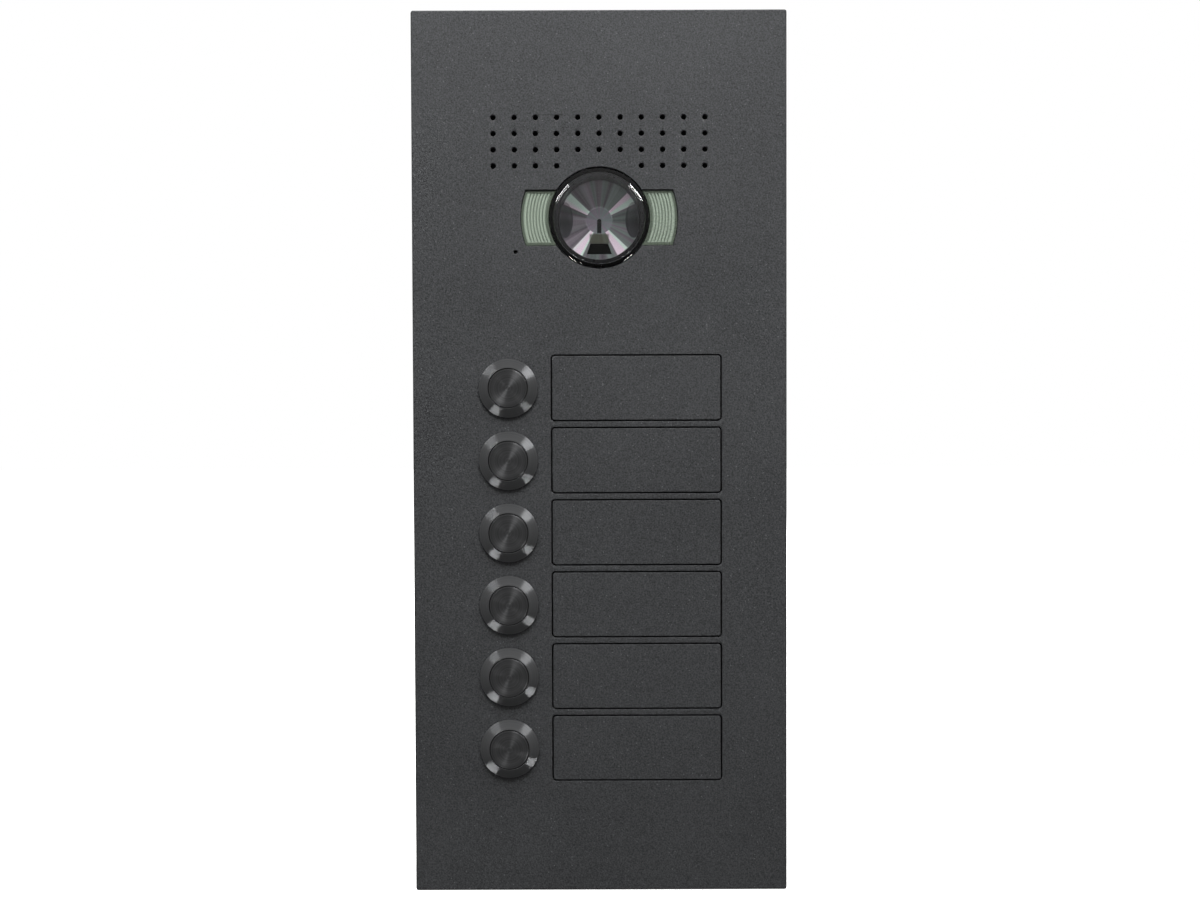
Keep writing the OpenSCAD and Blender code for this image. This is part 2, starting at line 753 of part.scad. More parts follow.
// Relay, two capacitors, a processor and the volume trimmer on the main board, and the image sensor
module board_parts() {
    z = case_back_z - board_t;
    color("#1a2a55") translate([-33, case_y + 2, z - 8]) cube([15, 12, 8]);
    color("#20262a") for (x = [-6, 5]) translate([x, case_y + 14, z - 9]) cylinder(d = 8, h = 9);
    color("#15171a") translate([-8, case_y - 10, z - 1.4]) cube([14, 14, 1.4]);
    color("#2c5da8") translate([22, case_y + 4, z - 4]) cube([7, 7, 4]);
    color("#15171a") at_camera() slab(camera_board_z + board_t, camera_board_z + board_t + 0.9)
        box_2d(sensor_w, sensor_w);
}

module terminal_block() color("seagreen") translate([0, terminal_y, case_back_z - board_t]) difference() {
    translate([-terminal_size[0] / 2, -terminal_size[1] / 2, -terminal_size[2]]) cube(terminal_size);
    for (k = [0 : terminal_ways - 1]) translate([(k - (terminal_ways - 1) / 2) * terminal_pitch, 0, 0]) {
        translate([0, 0.8, -terminal_size[2] - cut]) cylinder(d = 3.6, h = 4);
        translate([0, -terminal_size[1] / 2 - cut, -3.5]) rotate([-90, 0, 0]) cylinder(d = 3, h = 7);
    }
}

module module_screws() color("silver") {
    at_case_posts() translate([0, 0, case_back_z - board_t]) m2_screw(board_t + m2_grip);
    at_bosses() translate([0, 0, shroud_z]) m2_screw(shroud_t + 3);
    at_camera_posts() translate([0, 0, camera_board_z]) m2_screw(board_t + 4);
    at_speaker_screws() translate([0, 0, case_inner_z - speaker_flange_t]) m2_screw(speaker_flange_t + 1.2);
}

// ---- Call buttons ----

head_top = button_seal_t + head_h;
bore_r = cap_d / 2 + cap_gap;
cavity_r = barrel_d / 2 - barrel_wall;
bore_floor = head_top - cap_t - travel - spring_solid;
guide_end = bore_floor - guide_t;
collar_top = guide_end - guide_slip;
stem_end = collar_top - collar_h - stem_tail;
block_floor = stem_end - travel - 2;

module button_housing(i) color("#1d1e20") at_row(i) translate([0, 0, face_z]) difference() {
    union() {
        disc(head_d / 2, button_seal_t, button_seal_t + head_rim);
        translate([0, 0, button_seal_t + head_rim])
            cylinder(r1 = head_d / 2, r2 = bore_r + head_land, h = head_h - head_rim);
        disc(barrel_d / 2, barrel_end, button_seal_t + head_rim);
    }
    disc(bore_r, bore_floor, head_top + cut);
    disc(stem_d / 2 + guide_slip, barrel_end, head_top);
    disc(cavity_r, barrel_end - cut, guide_end);
}

// Cap with its stem; the collar under the guide is the retaining clip
module button_cap(i) color("#26272a") at_row(i) translate([0, 0, face_z]) {
    disc(cap_d / 2, head_top - cap_t, head_top);
    disc(stem_d / 2, stem_end, head_top - cap_t / 2);
    disc(collar_r, collar_top - collar_h, collar_top);
}

// Helical return spring between the guide's floor and the cap
module button_spring(i) color("silver") at_row(i)
    coil(spring_r, spring_wire / 2, face_z + bore_floor, face_z + head_top - cap_t, spring_turns);

module coil(r, wire_r, z0, z1, turns, sides = 6, steps_per_turn = 14) {
    steps = turns * steps_per_turn;
    points = [for (k = [0 : steps], s = [0 : sides - 1])
        let (a = 360 * k / steps_per_turn, b = 360 * s / sides, q = r + wire_r * cos(b))
        [q * cos(a), q * sin(a), z0 + wire_r + (z1 - z0 - 2 * wire_r) * k / steps + wire_r * sin(b)]];
    walls = [for (k = [0 : steps - 1], s = [0 : sides - 1])
        let (t = (s + 1) % sides, a = k * sides, b = a + sides)
        each [[a + s, b + s, b + t], [a + s, b + t, a + t]]];
    ends = [[for (s = [0 : sides - 1]) s], [for (s = [sides - 1 : -1 : 0]) steps * sides + s]];
    polyhedron(points, concat(walls, ends));
}

module button_nuts() color("silver") for (i = ROWS) at_row(i) {
    difference() {
        disc(head_d / 2, plate_z - washer_t, plate_z);
        disc(barrel_d / 2 + slip, plate_z - washer_t - cut, plate_z + cut);
    }
    translate([0, 0, plate_z - washer_t - button_nut_h])
        hex_nut(button_nut_af, button_nut_h, barrel_d / 2 + screw_slip);
}

module button_seals() color("#101112") for (i = ROWS) at_row(i) difference() {
    disc(head_d / 2 - 0.3, face_z, face_z + button_seal_t);
    disc(barrel_d / 2 + slip / 2, face_z - cut, face_z + button_seal_t + cut);
}

module contact_blocks() color("#1a1b1d") for (i = ROWS) at_row(i) translate([0, 0, face_z]) difference() {
    union() {
        disc(cavity_r - guide_slip, barrel_end - cut, guide_end);
        disc(block_r, block_end, barrel_end);
    }
    disc(block_bore_r, block_floor, guide_end + cut);
}

// Two blades a button, whose shoulders stand on the strip board
module button_terminals() color("goldenrod") for (i = ROWS) at_row(i) mirrored_x()
    translate([blade_x, 0, 0]) {
        slab(strip_z + board_t, face_z + block_end) box_2d(blade_t, blade_shoulder_w);
        slab(strip_z + board_t - blade_tail, face_z + block_end) box_2d(blade_t, blade_w);
    }

module button_board() color("darkgreen") difference() {
    translate([button_x - strip_w / 2, last_y - strip_over, strip_z])
        cube([strip_w, first_y - last_y + 2 * strip_over, board_t]);
    for (i = ROWS) at_row(i) mirrored_x() translate([blade_x, 0, 0])
        slab(strip_z - cut, strip_z + board_t + cut) box_2d(blade_t + 2 * slip, blade_w + 2 * slip);
}

// ---- Assembly ----

facing() front_plate();
facing() rear_housing();
facing() plate_gasket();
facing() hook_brackets();
facing() lock_bracket();
facing() security_screws();
facing() cable_grommet();
facing() name_backing();
facing() stud_nuts();
facing() av_case();
facing() av_gasket();
facing() camera_dome();
facing() dome_seal();
facing() camera_shroud();
facing() reflector();
facing() lens_holder();
facing() camera_lens();
facing() camera_board();
facing() window_left();
facing() window_right();
facing() led_boards();
facing() leds();
facing() speaker_frame();
facing() speaker_cone();
facing() speaker_mesh();
facing() microphone();
facing() microphone_boot();
facing() main_board();
facing() board_parts();
facing() terminal_block();
facing() module_screws();
facing() button_nuts();
facing() button_seals();
facing() button_board();
facing() contact_blocks();
facing() button_terminals();
for (i = ROWS) {
    facing() name_plate(i);
    facing() button_housing(i);
    facing() button_cap(i);
    facing() button_spring(i);
}
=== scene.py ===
import math
import bpy
from mathutils import Matrix, Vector


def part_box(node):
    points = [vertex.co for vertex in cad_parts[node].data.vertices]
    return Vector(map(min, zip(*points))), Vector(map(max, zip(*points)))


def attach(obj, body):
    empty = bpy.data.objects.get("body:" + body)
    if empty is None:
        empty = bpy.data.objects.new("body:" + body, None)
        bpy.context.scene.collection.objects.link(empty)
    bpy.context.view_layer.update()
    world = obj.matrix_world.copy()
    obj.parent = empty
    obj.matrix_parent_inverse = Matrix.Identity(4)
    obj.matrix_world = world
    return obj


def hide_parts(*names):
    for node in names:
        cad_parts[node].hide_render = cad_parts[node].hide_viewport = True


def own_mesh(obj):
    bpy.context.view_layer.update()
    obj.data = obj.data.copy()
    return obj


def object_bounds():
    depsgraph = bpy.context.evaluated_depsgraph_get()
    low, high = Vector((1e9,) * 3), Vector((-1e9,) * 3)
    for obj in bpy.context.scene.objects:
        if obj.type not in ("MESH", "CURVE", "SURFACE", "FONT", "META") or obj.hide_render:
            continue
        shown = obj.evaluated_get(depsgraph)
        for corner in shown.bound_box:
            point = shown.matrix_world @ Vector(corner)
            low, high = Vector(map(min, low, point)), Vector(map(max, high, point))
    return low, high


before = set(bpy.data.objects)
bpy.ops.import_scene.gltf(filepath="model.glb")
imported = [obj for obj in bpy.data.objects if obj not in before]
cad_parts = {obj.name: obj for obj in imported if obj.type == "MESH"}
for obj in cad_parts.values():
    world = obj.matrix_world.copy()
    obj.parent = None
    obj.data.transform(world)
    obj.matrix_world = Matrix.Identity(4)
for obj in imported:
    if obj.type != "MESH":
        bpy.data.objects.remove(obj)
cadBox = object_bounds()
rows = range(1, 7)


def middle(node):
    low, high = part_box(node)
    return (low + high) / 2


plateLow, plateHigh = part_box("front_plate")
plateFront = plateLow.y  # the panel faces -Y
lensAxis = middle("camera_dome")
buttonAxis = [middle(f"button_housing_{i}") for i in rows]
rowPitch = buttonAxis[0].z - buttonAxis[1].z
print("frame loaded, front of the plate at", round(plateFront * 1000, 2), "mm")


cameraView = {"place": (0.0002, -0.6433, 0.0178), "tilt": -1.59, "turn": 0.02, "roll": -0.2, "lens": 48.0}
bpy.ops.object.camera_add()
camera = bpy.context.object
camera.name = "viewCamera"
camera.data.lens = cameraView["lens"]
camera.data.sensor_width = 36
camera.data.clip_start = 0.01
camera.matrix_world = (
    Matrix.Translation(cameraView["place"])
    @ Matrix.Rotation(math.radians(cameraView["turn"]), 4, "Z")
    @ Matrix.Rotation(math.radians(90 + cameraView["tilt"]), 4, "X")
    @ Matrix.Rotation(math.radians(cameraView["roll"]), 4, "Z")
)
bpy.context.scene.camera = camera
bpy.context.scene.view_settings.view_transform = "Standard"

# bearing is measured in the panel's plane from the right-hand side, and lean from straight ahead;
# the strips make the highlights on the turned metal and the dome, and a box that doesn't show gives no reflection
softboxes = {
    "stripUpperRight": {"bearing": 42, "lean": 68, "away": 1.5,
        "size": (0.6, 0.04), "watts": 3.1, "shows": True},
    "stripUpperLeft": {"bearing": 138, "lean": 68, "away": 1.5,
        "size": (0.6, 0.04), "watts": 1.2, "shows": True},
    "stripLowerLeft": {"bearing": 235, "lean": 68, "away": 1.5,
        "size": (0.45, 0.07), "watts": 3.5, "shows": True},
    "stripLowerRight": {"bearing": 312, "lean": 68, "away": 1.5,
        "size": (0.45, 0.07), "watts": 4.6, "shows": True},
    "overhead": {"bearing": 90, "lean": 56, "away": 0.8,
        "size": (0.7, 0.3), "watts": 10.4, "shows": False},
    "behind": {"bearing": 60, "lean": 150, "away": 1.8,
        "size": (1.0, 1.0), "watts": 30, "shows": True},
    "capLightUpper": {"bearing": 66, "lean": 34, "away": 1.5,
        "size": (0.3, 0.16), "watts": 2.6, "shows": True},
    "capLightLower": {"bearing": 312, "lean": 34, "away": 1.5,
        "size": (0.3, 0.14), "watts": 1.6, "shows": True},
    "dishLight": {"bearing": 80, "lean": 14, "away": 0.9,
        "size": (0.3, 0.3), "watts": 4.0, "shows": True},
}
for lampName, box in softboxes.items():
    bearing, lean = math.radians(box["bearing"]), math.radians(box["lean"])
    way = Vector((math.sin(lean) * math.cos(bearing), -math.cos(lean), math.sin(lean) * math.sin(bearing)))
    along = Vector((-math.sin(bearing), 0, math.cos(bearing)))
    bpy.ops.object.light_add(type="AREA")
    lamp = bpy.context.object
    lamp.name = lampName
    facing = Matrix((along, way.cross(along), way)).transposed().to_4x4()
    lamp.matrix_world = Matrix.Translation(way * box["away"]) @ facing
    lamp.data.shape = "RECTANGLE"
    lamp.data.size, lamp.data.size_y = box["size"]
    lamp.data.energy = box["watts"]
    lamp.visible_glossy = lamp.visible_transmission = box["shows"]


# the studio is white to look at; as light it is dimmer, most of all from below, and dimmer again in reflections
studio = {"shown": 1.0, "above": 0.5, "level": 0.25, "below": 0.06, "mirrored": 0.72}


def makeStudio():
    world = bpy.data.worlds.new("studio")
    world.use_nodes = True
    sky = world.node_tree
    sky.nodes.clear()
    add = lambda kind: sky.nodes.new("ShaderNode" + kind)
    end, light, shown, mix = add("OutputWorld"), add("Background"), add("Background"), add("MixShader")
    path, place, split, rise, ramp, dim = (
        add("LightPath"), add("TexCoord"), add("SeparateXYZ"), add("MapRange"), add("ValToRGB"), add("MapRange"))
    shown.inputs["Color"].default_value = (1, 1, 1, 1)
    shown.inputs["Strength"].default_value = studio["shown"]
    rise.inputs["From Min"].default_value = -1
    dim.inputs["To Min"].default_value = 1
    dim.inputs["To Max"].default_value = studio["mirrored"]
    marks = ramp.color_ramp.elements
    marks.new(0.5)
    for mark, key in zip(marks, ("below", "level", "above")):
        mark.color = (studio[key],) * 3 + (1,)
    for source, target in (
        (place.outputs["Generated"], split.inputs[0]),
        (split.outputs["Z"], rise.inputs["Value"]),
        (rise.outputs["Result"], ramp.inputs["Fac"]),
        (ramp.outputs["Color"], light.inputs["Color"]),
        (path.outputs["Is Glossy Ray"], dim.inputs["Value"]),
        (dim.outputs["Result"], light.inputs["Strength"]),
        (path.outputs["Is Camera Ray"], mix.inputs["Fac"]),
        (light.outputs[0], mix.inputs[1]),
        (shown.outputs[0], mix.inputs[2]),
        (mix.outputs[0], end.inputs["Surface"]),
    ):
        sky.links.new(source, target)
    return world


bpy.context.scene.world = makeStudio()

floorShape = {"size": 8, "below": 0.0002}
bpy.ops.mesh.primitive_plane_add(size=floorShape["size"], location=(0, 0, cadBox[0].z - floorShape["below"]))
floor = bpy.context.object
floor.name = "floor"
floor.visible_glossy = floor.visible_diffuse = floor.visible_transmission = False
print("camera, softboxes and floor placed")


def newGroup(name, takes, gives):
    group = bpy.data.node_groups.new(name, "ShaderNodeTree")
    for label, value in takes:
        socket = group.interface.new_socket(label, in_out="INPUT", socket_type="NodeSocketFloat")
        socket.default_value = value
    for label in gives:
        group.interface.new_socket(label, in_out="OUTPUT", socket_type="NodeSocketFloat")
    return group, group.nodes.new("NodeGroupInput"), group.nodes.new("NodeGroupOutput")


def sumNode(tree, task, first, second=None, third=None):
    # one Math node; each value is a number or a socket
    node = tree.nodes.new("ShaderNodeMath")
    node.operation = task
    for place, value in enumerate((first, second, third)):
        if value is None:
            continue
        if isinstance(value, (int, float)):
            node.inputs[place].default_value = value
        else:
            tree.links.new(value, node.inputs[place])
    return node.outputs[0]


def noiseNode(tree, where, scale, detail=2.0, rough=0.5):
    node = tree.nodes.new("ShaderNodeTexNoise")
    node.inputs["Detail"].default_value = detail
    node.inputs["Roughness"].default_value = rough
    if isinstance(scale, (int, float)):
        node.inputs["Scale"].default_value = scale
    else:
        tree.links.new(scale, node.inputs["Scale"])
    tree.links.new(where, node.inputs["Vector"])
    return node.outputs["Fac"]


def objectPlace(tree):
    return tree.nodes.new("ShaderNodeTexCoord").outputs["Object"]


def makeFineGrain():
    # fine surface grain and slow clouding, for paint, moulded plastic, rubber and sheet metal
    asks = [("Grains per metre", 2500.0), ("Clouding", 0.3)]
    group, takes, gives = newGroup("fineGrain", asks, ["Shade", "Height"])
    where = objectPlace(group)
    fine = noiseNode(group, where, takes.outputs["Grains per metre"], 3.0, 0.6)
    slow = noiseNode(group, where, 22.0, 2.0)
    slowPart = sumNode(group, "MULTIPLY", sumNode(group, "SUBTRACT", slow, 0.5), takes.outputs["Clouding"])
    group.links.new(sumNode(group, "ADD", fine, slowPart), gives.inputs["Shade"])
    group.links.new(fine, gives.inputs["Height"])
    return group


def makeSparkle():
    # sparse bright flakes: 1 inside a flake, 0 elsewhere
    asks = [("Cells per metre", 700.0), ("Share", 0.04), ("Flake size", 0.2)]
    group, takes, gives = newGroup("sparkle", asks, ["Flake"])
    cells = group.nodes.new("ShaderNodeTexVoronoi")
    group.links.new(objectPlace(group), cells.inputs["Vector"])
    group.links.new(takes.outputs["Cells per metre"], cells.inputs["Scale"])
    tone = group.nodes.new("ShaderNodeSeparateColor")
    group.links.new(cells.outputs["Color"], tone.inputs[0])
    chosen = sumNode(group, "LESS_THAN", tone.outputs["Red"], takes.outputs["Share"])
    near = sumNode(group, "LESS_THAN", cells.outputs["Distance"], takes.outputs["Flake size"])
    strong = sumNode(group, "MULTIPLY_ADD", tone.outputs["Green"], 0.7, 0.3)
    flake = sumNode(group, "MULTIPLY", sumNode(group, "MULTIPLY", chosen, near), strong)
    group.links.new(flake, gives.inputs["Flake"])
    return group


def makeTurnedPlace():
    # radius and angle round an axis along Y; the pieces in a column repeat at Pitch
    asks = [("Axis X", 0.0), ("Axis Z", 0.0), ("Pitch", 1.0)]
    group, takes, gives = newGroup("turnedPlace", asks, ["Radius", "Angle"])
    split = group.nodes.new("ShaderNodeSeparateXYZ")
    group.links.new(objectPlace(group), split.inputs[0])
    across = sumNode(group, "SUBTRACT", split.outputs["X"], takes.outputs["Axis X"])
    up = sumNode(group, "SUBTRACT", split.outputs["Z"], takes.outputs["Axis Z"])
    half = sumNode(group, "MULTIPLY", takes.outputs["Pitch"], 0.5)
    up = sumNode(group, "WRAP", up, half, sumNode(group, "MULTIPLY", half, -1.0))
    square = sumNode(group, "ADD", sumNode(group, "MULTIPLY", across, across), sumNode(group, "MULTIPLY", up, up))
    group.links.new(sumNode(group, "SQRT", square), gives.inputs["Radius"])
    group.links.new(sumNode(group, "ARCTAN2", up, across), gives.inputs["Angle"])
    return group


def makeSpunLines():
    # the fine rings that a lathe tool leaves
    asks = [("Radius", 0.0), ("Rings per metre", 9000.0)]
    group, takes, gives = newGroup("spunLines", asks, ["Shade", "Height"])
    line = group.nodes.new("ShaderNodeCombineXYZ")
    count = sumNode(group, "MULTIPLY", takes.outputs["Radius"], takes.outputs["Rings per metre"])
    group.links.new(count, line.inputs["X"])
    fine = noiseNode(group, line.outputs[0], 1.0, 3.0, 0.65)
    broad = noiseNode(group, line.outputs[0], 0.18, 1.0)
    shade = sumNode(group, "MULTIPLY_ADD", broad, 0.5, sumNode(group, "MULTIPLY", fine, 0.5))
    group.links.new(shade, gives.inputs["Shade"])
    group.links.new(fine, gives.inputs["Height"])
    return group


fineGrain = makeFineGrain()
sparkle = makeSparkle()
turnedPlace = makeTurnedPlace()
spunLines = makeSpunLines()


grainRange = (0.25, 0.75)  # where nearly all of the grain's shade lies
ringRange = (0.3, 0.7)  # and the spun rings'


def startFinish(name, finish):
    material = bpy.data.materials.new(name)
    material.use_nodes = True
    tree = material.node_tree
    shader = tree.nodes["Principled BSDF"]
    for socket in ("Metallic", "Roughness", "IOR", "Anisotropic", "Anisotropic Rotation", "Coat Weight",
                   "Coat Roughness", "Transmission Weight", "Specular IOR Level", "Sheen Weight"):
        if socket in finish:
            shader.inputs[socket].default_value = finish[socket]
    return material, tree, shader


def useGroup(tree, group, **values):
    node = tree.nodes.new("ShaderNodeGroup")
    node.node_tree = group
    for label, value in values.items():
        socket = node.inputs[label.replace("_", " ")]
        if isinstance(value, (int, float)):
            socket.default_value = value
        else:
            tree.links.new(value, socket)
    return node


def blendColours(tree, share, first, second):
    node = tree.nodes.new("ShaderNodeMix")
    node.data_type = "RGBA"
    for socket, value in ((node.inputs[0], share), (node.inputs[6], first), (node.inputs[7], second)):
        if isinstance(value, (int, float)):
            socket.default_value = value
        elif isinstance(value, tuple):
            socket.default_value = value + (1,)
        else:
            tree.links.new(value, socket)
    return node.outputs[2]


def spread(tree, value, low, high, toLow, toHigh):
    # value from low..high is stretched to toLow..toHigh, and stops there
    node = tree.nodes.new("ShaderNodeMapRange")
    for socket, number in (("From Min", low), ("From Max", high), ("To Min", toLow), ("To Max", toHigh)):
        node.inputs[socket].default_value = number
    tree.links.new(value, node.inputs["Value"])
    return node.outputs["Result"]


def between(tree, value, low, high, feather):
    # 1 from low to high, falling to 0 over the feather on each side
    rise = spread(tree, value, low - feather, low + feather, 0.0, 1.0)
    fall = spread(tree, value, high - feather, high + feather, 1.0, 0.0)
    return sumNode(tree, "MULTIPLY", rise, fall)


def addBump(tree, shader, height, depth, strength=1.0):
    node = tree.nodes.new("ShaderNodeBump")
    node.inputs["Strength"].default_value = strength
    node.inputs["Distance"].default_value = depth
    tree.links.new(height, node.inputs["Height"])
    tree.links.new(node.outputs[0], shader.inputs["Normal"])


def roundLight(tree, shader):
    # draws the gloss out across the turned rings
    tangent = tree.nodes.new("ShaderNodeTangent")
    tangent.direction_type = "RADIAL"
    tangent.axis = "Y"
    tree.links.new(tangent.outputs[0], shader.inputs["Tangent"])


def twoTones(tree, shader, shade, limits, finish, swing=0.0):
    # dark to light by the shade, and a gloss that swings with it
    tone = spread(tree, shade, *limits, 0.0, 1.0)
    tree.links.new(blendColours(tree, tone, finish["dark"], finish["light"]), shader.inputs["Base Color"])
    if swing:
        gloss = finish["Roughness"]
        tree.links.new(spread(tree, shade, *limits, gloss - swing, gloss + swing), shader.inputs["Roughness"])


def grainFinish(name, finish):
    # paint, moulded plastic, rubber or plated sheet: two tones, grain in the gloss and a fine bump
    material, tree, shader = startFinish(name, finish)
    grain = useGroup(tree, fineGrain, Grains_per_metre=finish["grains"], Clouding=finish.get("clouding", 0.3))
    twoTones(tree, shader, grain.outputs["Shade"], grainRange, finish, 0.06)
    addBump(tree, shader, grain.outputs["Height"], finish["depth"])
    return material


coat = {
    "grains": 1700.0, "clouding": 0.12, "range": (0.28, 0.72), "depth": 0.00007,
    "dark": (0.0135, 0.0140, 0.0148), "light": (0.072, 0.0742, 0.0775), "Roughness": 0.56, "gloss": (0.5, 0.62),
    "flakesPerMetre": 900.0, "flakeShare": 0.10, "flakeSize": 0.2, "flakeColour": (0.15, 0.155, 0.16),
}


def coatFinish():
    # fine-texture powder coat with a few bright flakes in it
    material, tree, shader = startFinish("powderCoat", coat)
    grain = useGroup(tree, fineGrain, Grains_per_metre=coat["grains"], Clouding=coat["clouding"])
    flakes = useGroup(tree, sparkle, Cells_per_metre=coat["flakesPerMetre"], Share=coat["flakeShare"],
                      Flake_size=coat["flakeSize"])
    shade = grain.outputs["Shade"]
    ground = blendColours(tree, spread(tree, shade, *coat["range"], 0.0, 1.0), coat["dark"], coat["light"])
    colour = blendColours(tree, flakes.outputs["Flake"], ground, coat["flakeColour"])
    tree.links.new(colour, shader.inputs["Base Color"])
    tree.links.new(spread(tree, shade, *coat["range"], *coat["gloss"]), shader.inputs["Roughness"])
    addBump(tree, shader, grain.outputs["Height"], coat["depth"])
    return material


def spunFinish(name, finish):
    # turned metal: rings round each axis, and a gloss drawn out across them
    material, tree, shader = startFinish(name, finish)
    place = useGroup(tree, turnedPlace, Axis_X=finish["axis"][0], Axis_Z=finish["axis"][1], Pitch=finish["pitch"])
    rings = useGroup(tree, spunLines, Radius=place.outputs["Radius"], Rings_per_metre=finish["rings"])
    twoTones(tree, shader, rings.outputs["Shade"], ringRange, finish, 0.05)
    addBump(tree, shader, rings.outputs["Height"], finish["depth"], 0.6)
    roundLight(tree, shader)
    return material


def clearFinish(name, finish):
    # clear moulding or glass, very slightly uneven
    material, tree, shader = startFinish(name, finish)
    grain = useGroup(tree, fineGrain, Grains_per_metre=finish["grains"], Clouding=0.2)
    twoTones(tree, shader, grain.outputs["Shade"], grainRange, finish)
    addBump(tree, shader, grain.outputs["Height"], finish["depth"])
    return material


plainFinishes = {
    "blackGloss": {"dark": (0.003, 0.003, 0.0035), "light": (0.007, 0.007, 0.008),
        "Roughness": 0.3, "grains": 900.0, "depth": 0.000004},
    "blackPlastic": {"dark": (0.014, 0.0145, 0.015), "light": (0.028, 0.029, 0.03),
        "Roughness": 0.5, "grains": 2200.0, "depth": 0.00003},
    "rubber": {"dark": (0.012, 0.012, 0.0125), "light": (0.024, 0.024, 0.025),
        "Roughness": 0.72, "grains": 1800.0, "depth": 0.00003},
    "zincPlate": {"dark": (0.5, 0.505, 0.52), "light": (0.66, 0.665, 0.66),
        "Metallic": 1.0, "Roughness": 0.34, "grains": 700.0, "depth": 0.00001},
    "darkPlate": {"dark": (0.008, 0.008, 0.0085), "light": (0.018, 0.018, 0.019),
        "Roughness": 0.6, "grains": 2500.0, "depth": 0.00003},
    "stainless": {"dark": (0.52, 0.52, 0.51), "light": (0.66, 0.66, 0.64),
        "Metallic": 1.0, "Roughness": 0.26, "grains": 1500.0, "depth": 0.000006},
    "blackBoard": {"dark": (0.004, 0.005, 0.0045), "light": (0.01, 0.012, 0.01),
        "Roughness": 0.4, "grains": 500.0, "depth": 0.00002},
    "circuitBoard": {"dark": (0.01, 0.075, 0.028), "light": (0.022, 0.15, 0.055),
        "Roughness": 0.36, "grains": 500.0, "depth": 0.00002, "Coat Weight": 0.3},
    "boardParts": {"dark": (0.018, 0.02, 0.026), "light": (0.045, 0.05, 0.065),
        "Roughness": 0.42, "grains": 600.0, "depth": 0.00002},
    "phosphor": {"dark": (0.78, 0.66, 0.22), "light": (0.9, 0.82, 0.4),
        "Roughness": 0.38, "grains": 2400.0, "depth": 0.00001},
    "speakerPaper": {"dark": (0.03, 0.027, 0.024), "light": (0.062, 0.056, 0.05),
        "Roughness": 0.86, "grains": 1400.0, "depth": 0.00006},
    "acousticMesh": {"dark": (0.002, 0.002, 0.0022), "light": (0.008, 0.008, 0.0085),
        "Roughness": 0.9, "grains": 2600.0, "depth": 0.00012},
    "greenPlastic": {"dark": (0.02, 0.19, 0.06), "light": (0.04, 0.3, 0.1),
        "Roughness": 0.42, "grains": 1300.0, "depth": 0.00002},
    "brass": {"dark": (0.62, 0.44, 0.18), "light": (0.8, 0.62, 0.3),
        "Metallic": 1.0, "Roughness": 0.3, "grains": 900.0, "depth": 0.000008},
}
finishes = {name: grainFinish(name, finish) for name, finish in plainFinishes.items()}
finishes["powderCoat"] = coatFinish()
turnedMetal = {"Metallic": 1.0, "Anisotropic": 0.9, "Anisotropic Rotation": 0.25, "rings": 9000.0, "depth": 0.000006,
               "axis": (buttonAxis[0].x, buttonAxis[0].z), "pitch": rowPitch}
finishes["blackAnodised"] = spunFinish("blackAnodised", {
    **turnedMetal, "dark": (0.2, 0.203, 0.21), "light": (0.4, 0.405, 0.413), "Roughness": 0.33})
finishes["spunCap"] = spunFinish("spunCap", {
    **turnedMetal, "dark": (0.12, 0.122, 0.126), "light": (0.27, 0.272, 0.276), "Roughness": 0.34})
finishes["clearDome"] = clearFinish("clearDome", {
    "dark": (0.97, 0.98, 0.98), "light": (1.0, 1.0, 1.0), "Roughness": 0.0, "IOR": 1.49, "Transmission Weight": 1.0,
    "grains": 60.0, "depth": 0.000002})
finishes["lensGlass"] = clearFinish("lensGlass", {
    "dark": (0.05, 0.05, 0.09), "light": (0.08, 0.08, 0.13), "Roughness": 0.0, "IOR": 1.6, "Transmission Weight": 1.0,
    "Coat Weight": 0.5, "grains": 80.0, "depth": 0.000001})
print("finishes made:", len(finishes))


def onlyThis(piece):
    bpy.ops.object.select_all(action="DESELECT")
    piece.select_set(True)
    bpy.context.view_layer.objects.active = piece


def applyModifier(piece, kind, **settings):
    onlyThis(piece)
    modifier = piece.modifiers.new(kind.lower(), kind)
    for key, value in settings.items():
        setattr(modifier, key, value)
    bpy.ops.object.modifier_apply(modifier=modifier.name)


def roundEdges(piece, width, angle=30, segments=2):
    applyModifier(piece, "BEVEL", width=width, segments=segments, limit_method="ANGLE",
                  angle_limit=math.radians(angle), use_clamp_overlap=False, loop_slide=False)


def smooth(piece, angle=35):
    # smooth round the edges, with the broad faces left truly flat
    onlyThis(piece)
    bpy.ops.object.shade_smooth_by_angle(angle=math.radians(angle))
    applyModifier(piece, "WEIGHTED_NORMAL", keep_sharp=True, weight=80)


def facesOutward(piece):
    onlyThis(piece)
    bpy.ops.object.mode_set(mode="EDIT")
    bpy.ops.mesh.select_all(action="SELECT")
    bpy.ops.mesh.remove_doubles(threshold=1e-6)
    bpy.ops.mesh.normals_make_consistent(inside=False)
    bpy.ops.object.mode_set(mode="OBJECT")


